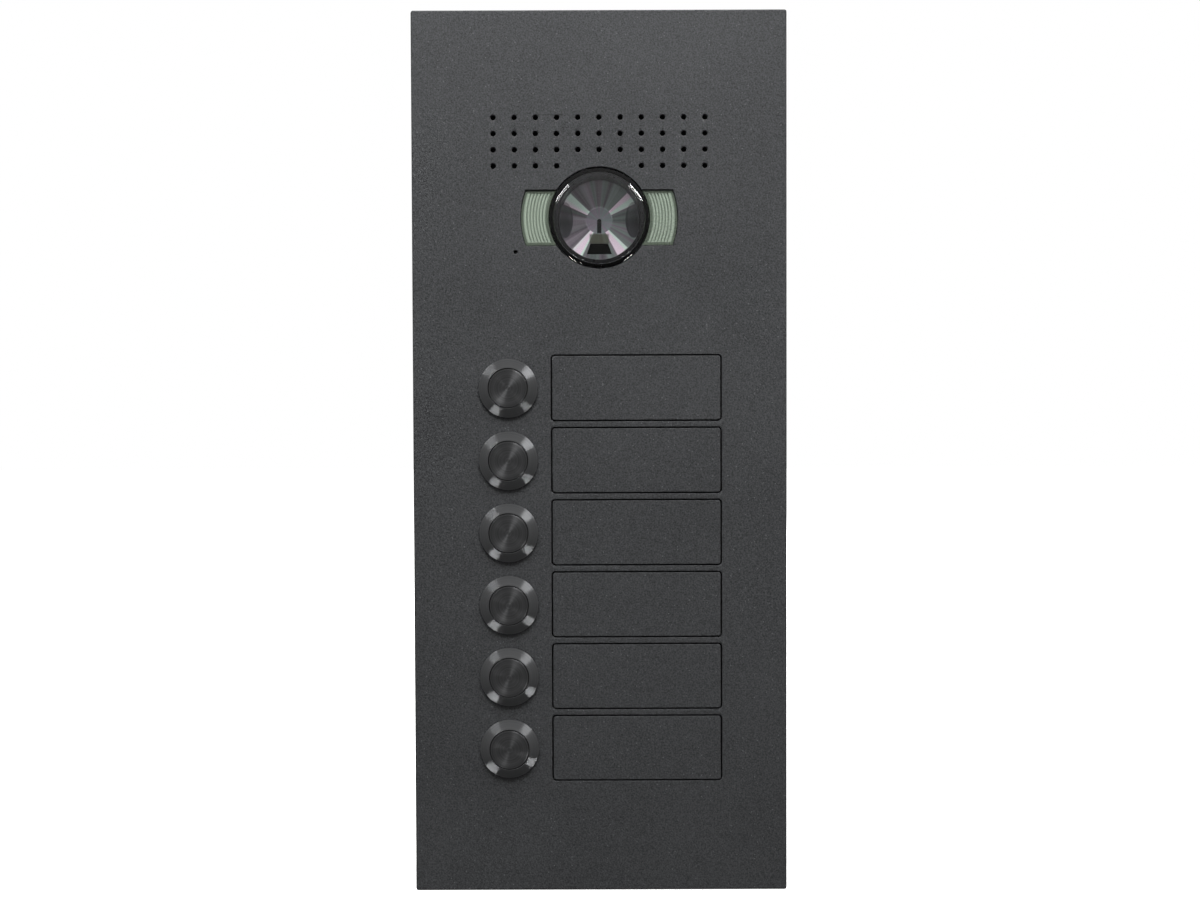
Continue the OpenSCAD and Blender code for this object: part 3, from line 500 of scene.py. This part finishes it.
def turnPiece(name, axis, rings, steps=96, hollow=False):
    # rings are (radius, height over the plate) in millimetres, from the inner front edge outwards and round the back
    height = lambda ring: plateFront - ring[1] / 1000
    bpy.ops.object.select_all(action="DESELECT")
    bpy.ops.mesh.primitive_circle_add(vertices=steps, radius=rings[0][0] / 1000, fill_type="NOTHING",
                                      location=(axis.x, height(rings[0]), axis.z), rotation=(math.pi / 2, 0, 0))
    piece = bpy.context.object
    piece.name = name
    bpy.ops.object.transform_apply(location=True, rotation=True, scale=True)
    bpy.ops.object.mode_set(mode="EDIT")
    bpy.ops.mesh.select_all(action="SELECT")
    for last, ring in zip(rings, rings[1:]):
        bpy.ops.mesh.extrude_region_move(TRANSFORM_OT_translate={"value": (0, height(ring) - height(last), 0)})
        widen = ring[0] / last[0]
        bpy.ops.transform.resize(value=(widen, 1, widen), center_override=(axis.x, height(ring), axis.z))
    bpy.ops.mesh.select_all(action="DESELECT")
    bpy.ops.mesh.select_mode(type="EDGE")
    bpy.ops.mesh.select_non_manifold()
    if hollow:
        bpy.ops.mesh.bridge_edge_loops()
    else:
        bpy.ops.mesh.fill_holes(sides=0)
    bpy.ops.mesh.select_mode(type="VERT")
    bpy.ops.object.mode_set(mode="OBJECT")
    facesOutward(piece)
    return piece


def ownCopy(piece, name, move):
    # a copy with its own mesh, moved in the mesh
    onlyThis(piece)
    bpy.ops.object.duplicate(linked=False)
    double = bpy.context.object
    double.name = name
    double.data.transform(Matrix.Translation(move))
    return double


def softCopy(node, name, width=0, angle=40, segments=2):
    # the node's own shape, merged into clean faces, with its sharp edges softened if a width is given
    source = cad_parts[node]
    onlyThis(source)
    bpy.ops.object.duplicate(linked=False)
    piece = bpy.context.object
    piece.name = name
    for key in [key for key in piece.keys() if key.startswith("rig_")]:
        del piece[key]
    piece.parent = None
    bpy.ops.mesh.customdata_custom_splitnormals_clear()
    bpy.ops.object.mode_set(mode="EDIT")
    bpy.ops.mesh.select_all(action="SELECT")
    bpy.ops.mesh.remove_doubles(threshold=1e-6)
    bpy.ops.mesh.dissolve_limited(angle_limit=math.radians(0.2))
    bpy.ops.mesh.quads_convert_to_tris(quad_method="BEAUTY", ngon_method="BEAUTY")
    bpy.ops.object.mode_set(mode="OBJECT")
    if width:
        roundEdges(piece, width, angle, segments)
    smooth(piece, 35)
    return piece


def lightOnly(lampName, pieces):
    # the lamp lights these pieces and nothing else
    group = bpy.data.collections.new(lampName)
    for piece in pieces:
        group.objects.link(piece)
    bpy.data.objects[lampName].light_linking.receiver_collection = group


def settle(piece, body, slotName, finishName, *nodes):
    piece.data.materials.clear()
    piece.data.materials.append(finishes[finishName])
    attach(piece, body)
    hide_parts(*nodes)


coatedEdges = {"plate": 0.00025, "namePlate": 0.0003, "housing": 0.0005}
coatedPieces = [("front_plate", "frontPlate", coatedEdges["plate"], 2)]
coatedPieces += [(f"name_plate_{i}", f"namePlate_{i}", coatedEdges["namePlate"], 2) for i in rows]
coatedPieces += [("rear_housing", "foldedHousing", coatedEdges["housing"], 3)]
for node, name, edge, segments in coatedPieces:
    settle(softCopy(node, name, edge, segments=segments), "panel", "powder_coat", "powderCoat", node)
print("coated sheet metal made")


buttonShape = {
    "head": 11.0, "rim": (0.5, 1.0), "top": 3.0, "land": 7.7, "bore": 7.45, "boreFloor": -3.5,
    "guide": 3.1, "guideEnd": -7.0, "cavity": 7.5, "barrel": 9.3, "barrelEnd": -15.0, "edge": 0.00009,
    "thread": {"root": 8.85, "from": -3.2, "pitch": 1.0, "turns": 11},
}
capShape = {
    "radius": 7.2, "top": 3.0, "dish": 0.06, "under": 0.5, "stem": 3.0, "collar": 3.8, "collarTop": -7.1,
    "collarEnd": -8.1, "stemEnd": -10.0, "pole": 0.15, "edge": 0.00012,
}


def makeButtonHousing():
    shape, thread = buttonShape, buttonShape["thread"]
    rings = [(shape["bore"], shape["top"]), (shape["land"], shape["top"]), (shape["head"], shape["rim"][1]),
             (shape["head"], shape["rim"][0]), (shape["barrel"], shape["rim"][0])]
    for k in range(thread["turns"]):
        start = thread["from"] - k * thread["pitch"]
        for radius, share in ((shape["barrel"], 0), (thread["root"], 0.4), (thread["root"], 0.5),
                              (shape["barrel"], 0.9)):
            rings.append((radius, start - share * thread["pitch"]))
    rings += [(shape["barrel"], shape["barrelEnd"]), (shape["cavity"], shape["barrelEnd"]),
              (shape["cavity"], shape["guideEnd"]), (shape["guide"], shape["guideEnd"]),
              (shape["guide"], shape["boreFloor"]), (shape["bore"], shape["boreFloor"])]
    piece = turnPiece("buttonHousing_1", buttonAxis[0], rings, hollow=True)
    roundEdges(piece, shape["edge"], 25, 2)
    smooth(piece, 32)
    return piece


def makeButtonCap():
    shape = capShape
    rings = [(shape["pole"], shape["top"] - shape["dish"])]
    for share in (0.12, 0.25, 0.4, 0.55, 0.7, 0.85):
        rings.append((shape["radius"] * share, shape["top"] - shape["dish"] * (1 - share ** 2)))
    rings += [(shape["radius"], shape["top"]), (shape["radius"], shape["under"]), (shape["stem"], shape["under"]),
              (shape["stem"], shape["collarTop"]), (shape["collar"], shape["collarTop"]),
              (shape["collar"], shape["collarEnd"]), (shape["stem"], shape["collarEnd"]),
              (shape["stem"], shape["stemEnd"]), (shape["pole"], shape["stemEnd"])]
    piece = turnPiece("buttonCap_1", buttonAxis[0], rings)
    roundEdges(piece, shape["edge"], 25, 3)
    smooth(piece, 32)
    return piece


housings, caps = [makeButtonHousing()], [makeButtonCap()]
for i in rows[1:]:
    move = buttonAxis[i - 1] - buttonAxis[0]
    housings.append(ownCopy(housings[0], f"buttonHousing_{i}", move))
    caps.append(ownCopy(caps[0], f"buttonCap_{i}", move))
for i, housing, cap in zip(rows, housings, caps):
    settle(housing, "panel", "black_anodised", "blackAnodised", f"button_housing_{i}")
    settle(cap, f"button_{i}", "black_anodised", "spunCap", f"button_cap_{i}")
# each spring stands on its housing's floor
for i in rows:
    coil = softCopy(f"button_spring_{i}", f"buttonSpring_{i}")
    settle(coil, "panel", "stainless_steel", "stainless", f"button_spring_{i}")
    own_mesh(coil)
for lampName in ("capLightUpper", "capLightLower"):
    lightOnly(lampName, caps)
print("call buttons turned")


domeShape = {"radius": 18.7, "rise": 6.0, "wall": 1.8, "flange": 21.5, "flangeTop": -7.8, "back": -9.6,
             "steps": 22, "pole": 0.1, "edge": 0.00035}
dishShape = {
    "pinhole": 0.8, "hub": 4.9, "hubHeight": -10.0, "rim": 15.1, "rimHeight": -9.0, "thick": 1.2, "step": 0.12,
    "bowl": {"rings": 8, "rise": 0.75, "curve": 1.6}, "edge": 0.00008,
    "notch": {"from": 8.6, "to": 12.6, "wide": 9.6, "narrow": 6.6, "height": -10.0, "deep": 6.0},
    "pocket": {"off": 12.9, "up": 0.2, "half": (3.6, 1.6, 8.0), "height": -8.3},
}
dishMetal = {
    "Metallic": 0.5, "Roughness": 0.4, "Anisotropic": 0.9, "Anisotropic Rotation": 0.25,
    "rings": 12000.0, "depth": 0.000003, "ringColour": (0.5, 0.5, 0.52), "ringShow": 0.12,
    "dark": (0.045, 0.045, 0.05), "light": (0.30, 0.305, 0.315), "reflectionRays": 2.6,
    "rose": (0.92, 0.62, 0.84), "mint": (0.62, 0.90, 0.76), "sheenRays": 5.5, "sheenShow": 0.55,
    # four painted highlights, in degrees round the dish, where the softboxes would reflect
    "paintedHighlights": ((24, 45), (136, 156), (226, 245), (297, 317)), "paintedHighlightColour": (0.95, 0.95, 0.95),
    "paintedHighlightTo": 0.0146, "feather": 1.2, "highlightEdge": 1.0, "highlightEdgeShow": 0.6,
    "hub": 0.0049, "hubColour": (0.30, 0.30, 0.335), "hubShow": 0.75,
    # painted shade in the side pockets, and a painted dark reflection in a streak below the pinhole
    "pocketHalf": (0.0031, 0.0068), "pocketShadeColour": (0.035, 0.035, 0.04),
    "darkReflectionHalf": 0.0008, "darkReflectionTo": 0.0047, "darkReflectionColour": (0.004, 0.004, 0.005),
    "shelfHalf": 0.0036, "shelfTo": 0.0086, "shelfColour": (0.075, 0.078, 0.05), "shelfShow": 0.8, "blur": 0.0003,
}


def roundRays(tree, angle, scale, detail, rough=0.5):
    # noise that changes only round the dish
    turn = tree.nodes.new("ShaderNodeCombineXYZ")
    for axis, task in (("X", "COSINE"), ("Y", "SINE")):
        tree.links.new(sumNode(tree, task, angle), turn.inputs[axis])
    return noiseNode(tree, turn.outputs[0], scale, detail, rough)


def dishColours(tree, place, rings):
    # darker and lighter painted reflection rays, four painted highlights with painted dark edges beside them,
    # the flat hub, and over them a faint painted rose and mint sheen and the fine rings
    look = dishMetal
    radius, angle = place.outputs["Radius"], place.outputs["Angle"]
    times = lambda first, second: sumNode(tree, "MULTIPLY", first, second)
    # painted reflection rays: the tone swings between dark and light round the dish
    reflectionRay = roundRays(tree, angle, look["reflectionRays"], 3.0, 0.6)
    ground = blendColours(tree, spread(tree, reflectionRay, 0.34, 0.66, 0.0, 1.0), look["dark"], look["light"])
    degrees = sumNode(tree, "WRAP", times(angle, 180 / math.pi), 360.0, 0.0)
    paintedHighlights = highlightEdges = 0.0
    # painted highlights, each with a painted dark edge on both sides
    for start, end in look["paintedHighlights"]:
        paintedHighlights = sumNode(tree, "ADD", paintedHighlights, between(tree, degrees, start, end, look["feather"]))
        for edge in (start, end):
            highlightEdge = between(tree, degrees, edge - look["highlightEdge"], edge + look["highlightEdge"], look["feather"] / 2)
            highlightEdges = sumNode(tree, "ADD", highlightEdges, highlightEdge)
    onDish = between(tree, radius, look["hub"], look["paintedHighlightTo"], 0.0001)
    onHub = sumNode(tree, "LESS_THAN", radius, look["hub"])
    ground = blendColours(tree, times(paintedHighlights, onDish), ground, look["paintedHighlightColour"])
    ground = blendColours(tree, times(times(highlightEdges, onDish), look["highlightEdgeShow"]), ground, look["dark"])
    ground = blendColours(tree, times(onHub, look["hubShow"]), ground, look["hubColour"])

    tint = roundRays(tree, angle, look["sheenRays"], 1.0)
    tinted = tree.nodes.new("ShaderNodeMix")
    tinted.data_type, tinted.blend_type = "RGBA", "MULTIPLY"
    tinted.inputs[0].default_value = look["sheenShow"]
    tree.links.new(ground, tinted.inputs[6])
    sheen = blendColours(tree, spread(tree, tint, 0.42, 0.58, 0.0, 1.0), look["rose"], look["mint"])
    tree.links.new(sheen, tinted.inputs[7])
    ringed = spread(tree, rings.outputs["Shade"], 0.35, 0.65, 0.0, look["ringShow"])
    return blendColours(tree, ringed, tinted.outputs[2], look["ringColour"])


def paintedDishDarks(tree, ground):
    # painted shade in the two side pockets, a darker shelf above the notch, and a painted dark reflection in a thin
    # streak down from the pinhole
    look, pocket = dishMetal, dishShape["pocket"]
    times = lambda first, second: sumNode(tree, "MULTIPLY", first, second)
    less = lambda first, second: sumNode(tree, "SUBTRACT", first, second)
    split = tree.nodes.new("ShaderNodeSeparateXYZ")
    tree.links.new(objectPlace(tree), split.inputs[0])
    across = sumNode(tree, "ABSOLUTE", less(split.outputs["X"], lensAxis.x))
    up = less(split.outputs["Z"], lensAxis.z)
    ovalX = sumNode(tree, "DIVIDE", less(across, pocket["off"] / 1000), look["pocketHalf"][0])
    ovalZ = sumNode(tree, "DIVIDE", less(up, pocket["up"] / 1000), look["pocketHalf"][1])
    oval = sumNode(tree, "ADD", times(ovalX, ovalX), times(ovalZ, ovalZ))
    # painted shade, full in the lower part of each pocket and lighter towards its top
    pocketShade = times(spread(tree, oval, 0.9, 1.05, 1.0, 0.0), spread(tree, ovalZ, -0.2, 0.7, 1.0, 0.55))
    onShelf = times(between(tree, across, -1.0, look["shelfHalf"], look["blur"]),
                    between(tree, up, -look["shelfTo"], -look["darkReflectionTo"] - look["blur"], look["blur"]))
    # a painted dark reflection in a thin streak down from the pinhole
    inDarkReflection = times(sumNode(tree, "LESS_THAN", across, look["darkReflectionHalf"]),
                   between(tree, up, -look["darkReflectionTo"], 0.0, 0.0002))
    ground = blendColours(tree, pocketShade, ground, look["pocketShadeColour"])
    ground = blendColours(tree, times(onShelf, look["shelfShow"]), ground, look["shelfColour"])
    return blendColours(tree, inDarkReflection, ground, look["darkReflectionColour"])


def dishFinish():
    material, tree, shader = startFinish("reflectorMetal", dishMetal)
    place = useGroup(tree, turnedPlace, Axis_X=lensAxis.x, Axis_Z=lensAxis.z)
    rings = useGroup(tree, spunLines, Radius=place.outputs["Radius"], Rings_per_metre=dishMetal["rings"])
    tree.links.new(paintedDishDarks(tree, dishColours(tree, place, rings)), shader.inputs["Base Color"])
    addBump(tree, shader, rings.outputs["Height"], dishMetal["depth"], 0.5)
    roundLight(tree, shader)
    return material


def makeDome():
    shape = domeShape
    ball = (shape["radius"] ** 2 + shape["rise"] ** 2) / (2 * shape["rise"])
    centre = shape["rise"] - ball
    inner, innerRadius = ball - shape["wall"], shape["radius"] - shape["wall"]
    widest, innerWidest = math.asin(shape["radius"] / ball), math.asin(innerRadius / inner)
    arc = lambda size, angle: (size * math.sin(angle), centre + size * math.cos(angle))
    steps, pole = shape["steps"], shape["pole"]
    shares = [(k + pole) / (steps + pole) for k in range(steps + 1)]
    rings = [arc(ball, widest * share) for share in shares]
    rings += [(shape["radius"], shape["flangeTop"]), (shape["flange"], shape["flangeTop"]),
              (shape["flange"], shape["back"]), (innerRadius, shape["back"])]
    rings += [arc(inner, innerWidest * share) for share in reversed(shares)]
    piece = turnPiece("clearDome", lensAxis, rings, steps=128)
    roundEdges(piece, shape["edge"], 25, 3)
    smooth(piece, 30)
    return piece


def notchCutter():
    notch = dishShape["notch"]
    halfway = lensAxis.z - (notch["from"] + notch["to"]) / 2000
    bpy.ops.object.select_all(action="DESELECT")
    bpy.ops.mesh.primitive_cube_add(
        size=1, location=(lensAxis.x, plateFront - notch["height"] / 1000, halfway),
        scale=(notch["wide"] / 1000, notch["deep"] / 1000, (notch["to"] - notch["from"]) / 1000))
    cutter = bpy.context.object
    bpy.ops.object.transform_apply(location=True, rotation=True, scale=True)
    for vertex in cutter.data.vertices:
        if vertex.co.z > halfway:  # narrower at the top
            vertex.co.x = lensAxis.x + (vertex.co.x - lensAxis.x) * notch["narrow"] / notch["wide"]
    return cutter


def pocketCutter(side):
    pocket = dishShape["pocket"]
    place = (lensAxis.x + side * pocket["off"] / 1000, plateFront - pocket["height"] / 1000,
             lensAxis.z + pocket["up"] / 1000)
    bpy.ops.mesh.primitive_uv_sphere_add(segments=48, ring_count=24, radius=1, location=place,
                                         scale=[half / 1000 for half in pocket["half"]])
    bpy.ops.object.transform_apply(location=True, rotation=True, scale=True)
    return bpy.context.object


def makeDish():
    shape, bowl = dishShape, dishShape["bowl"]
    floorEdge, floorTop = shape["hub"] + shape["step"], shape["hubHeight"] + shape["step"]
    back = shape["rimHeight"] - shape["thick"]
    rings = [(shape["pinhole"], shape["hubHeight"]), (shape["hub"], shape["hubHeight"]), (floorEdge, floorTop)]
    for k in range(1, bowl["rings"] + 1):
        share = k / bowl["rings"]
        rings.append((floorEdge + (shape["rim"] - 0.7 - shape["hub"]) * share,
                      floorTop + bowl["rise"] * share ** bowl["curve"]))
    rings += [(shape["rim"] - 0.45, shape["rimHeight"]), (shape["rim"], shape["rimHeight"]),
              (shape["rim"], back), (shape["rim"] - 1.5, back),
              (shape["hub"], shape["hubHeight"] - shape["thick"]),
              (shape["pinhole"], shape["hubHeight"] - shape["thick"])]
    piece = turnPiece("reflectorDish", lensAxis, rings, steps=128, hollow=True)
    for cutter in (notchCutter(), pocketCutter(-1), pocketCutter(1)):
        applyModifier(piece, "BOOLEAN", object=cutter, operation="DIFFERENCE", solver="EXACT")
        bpy.data.objects.remove(cutter)
    roundEdges(piece, shape["edge"], 28, 2)
    smooth(piece, 25)
    return piece


finishes["reflectorMetal"] = dishFinish()
clearDome = makeDome()
clearDome.visible_shadow = False  # light falls through it on to the dish
settle(clearDome, "panel", "clear_polycarbonate", "clearDome", "camera_dome")
dish = makeDish()
settle(dish, "panel", "reflector_metal", "reflectorMetal", "reflector")
lightOnly("dishLight", [dish])
print("dome and dish made")


frosted = {
    "dark": (0.215, 0.26, 0.21), "light": (0.265, 0.315, 0.255), "border": (0.072, 0.09, 0.068),
    "valleyShade": (0.165, 0.203, 0.162), "Roughness": 0.3, "gloss": (0.24, 0.36), "IOR": 1.58, "grains": 1600.0,
    "depth": 0.00001, "ribsFrom": 0.0199, "ribsTo": 0.0283, "ribsHalfHeight": 0.0091, "firstRib": 0.0201,
    "ribPitch": 0.00115,
}


def windowFinish():
    # pale moulding with a darker flat border, and painted shade in the valleys between its ribs
    material, tree, shader = startFinish("frostedWindow", frosted)
    times = lambda first, second: sumNode(tree, "MULTIPLY", first, second)
    place = useGroup(tree, turnedPlace, Axis_X=lensAxis.x, Axis_Z=lensAxis.z)
    radius = place.outputs["Radius"]
    split = tree.nodes.new("ShaderNodeSeparateXYZ")
    tree.links.new(objectPlace(tree), split.inputs[0])
    offAxis = sumNode(tree, "ABSOLUTE", sumNode(tree, "SUBTRACT", split.outputs["Z"], lensAxis.z))
    inRibs = times(sumNode(tree, "LESS_THAN", offAxis, frosted["ribsHalfHeight"]), times(
        sumNode(tree, "GREATER_THAN", radius, frosted["ribsFrom"]),
        sumNode(tree, "LESS_THAN", radius, frosted["ribsTo"])))
    turns = sumNode(tree, "DIVIDE", sumNode(tree, "SUBTRACT", radius, frosted["firstRib"]), frosted["ribPitch"])
    # painted shade, darkest in the middle of each valley between the ribs
    valleyShade = spread(tree, sumNode(tree, "COSINE", times(turns, 2 * math.pi)), 0.2, 1.0, 0.0, 1.0)
    grain = useGroup(tree, fineGrain, Grains_per_metre=frosted["grains"], Clouding=0.5)
    tone = spread(tree, grain.outputs["Shade"], *grainRange, 0.0, 1.0)
    ribs = blendColours(tree, valleyShade, blendColours(tree, tone, frosted["dark"], frosted["light"]), frosted["valleyShade"])
    tree.links.new(blendColours(tree, inRibs, frosted["border"], ribs), shader.inputs["Base Color"])
    tree.links.new(spread(tree, tone, 0.0, 1.0, *frosted["gloss"]), shader.inputs["Roughness"])
    addBump(tree, shader, grain.outputs["Height"], frosted["depth"])
    return material


finishes["frostedWindow"] = windowFinish()
smallPieces = [
    # node, piece, edge radius, segments, slot, finish
    ("camera_shroud", "cameraSurround", 0.00012, 2, "black_gloss_plastic", "blackGloss"),
    ("window_left", "lightWindow_left", 0.00008, 2, "frosted_polycarbonate", "frostedWindow"),
    ("window_right", "lightWindow_right", 0.00008, 2, "frosted_polycarbonate", "frostedWindow"),
    ("cable_grommet", "cableGrommet", 0.0003, 3, "rubber", "rubber"),
    ("security_screws", "securityScrews", 0.0001, 2, "stainless_steel", "stainless"),
]
for node, name, edge, segments, slotName, finishName in smallPieces:
    settle(softCopy(node, name, edge, segments=segments), "panel", slotName, finishName, node)
print("surround, windows, grommet and screws made")


floorFinish = {"dark": (0.9, 0.9, 0.9), "light": (0.94, 0.94, 0.935), "Roughness": 0.6,
               "grains": 90.0, "depth": 0.00005, "clouding": 0.5, "glow": 0.9}
floor.data.materials.append(grainFinish("paleFloor", floorFinish))
floorShader = floor.data.materials[0].node_tree.nodes["Principled BSDF"]
floorShader.inputs["Emission Color"].default_value = (1, 1, 1, 1)
floorShader.inputs["Emission Strength"].default_value = floorFinish["glow"]

# the nodes themselves get their finishes too, also those that a finer piece stands for
nodeFinish = {
    "powderCoat": ["front_plate", "rear_housing"] + [f"name_plate_{i}" for i in rows],
    "blackAnodised": [f"button_housing_{i}" for i in rows] + [f"button_cap_{i}" for i in rows],
    "clearDome": ["camera_dome"],
    "frostedWindow": ["window_left", "window_right"],
    "reflectorMetal": ["reflector"],
    "blackGloss": ["camera_shroud"],
    "blackPlastic": ["av_case", "lens_holder", "speaker_frame", "contact_blocks"],
    "lensGlass": ["camera_lens"],
    "rubber": ["plate_gasket", "av_gasket", "dome_seal", "microphone_boot", "button_seals", "cable_grommet"],
    "darkPlate": ["name_backing"],
    "zincPlate": ["hook_brackets", "lock_bracket", "stud_nuts", "button_nuts", "module_screws", "microphone"],
    "stainless": ["security_screws"] + [f"button_spring_{i}" for i in rows],
    "blackBoard": ["camera_board"],
    "circuitBoard": ["led_boards", "main_board", "button_board"],
    "boardParts": ["board_parts"],
    "phosphor": ["leds"],
    "speakerPaper": ["speaker_cone"],
    "acousticMesh": ["speaker_mesh"],
    "greenPlastic": ["terminal_block"],
    "brass": ["button_terminals"],
}
for finishName, nodes in nodeFinish.items():
    for node in nodes:
        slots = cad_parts[node].data.materials
        for place in range(len(slots)):
            slots[place] = finishes[finishName]
        if not slots:
            slots.append(finishes[finishName])
print("kept nodes finished:", sum(len(nodes) for nodes in nodeFinish.values()))
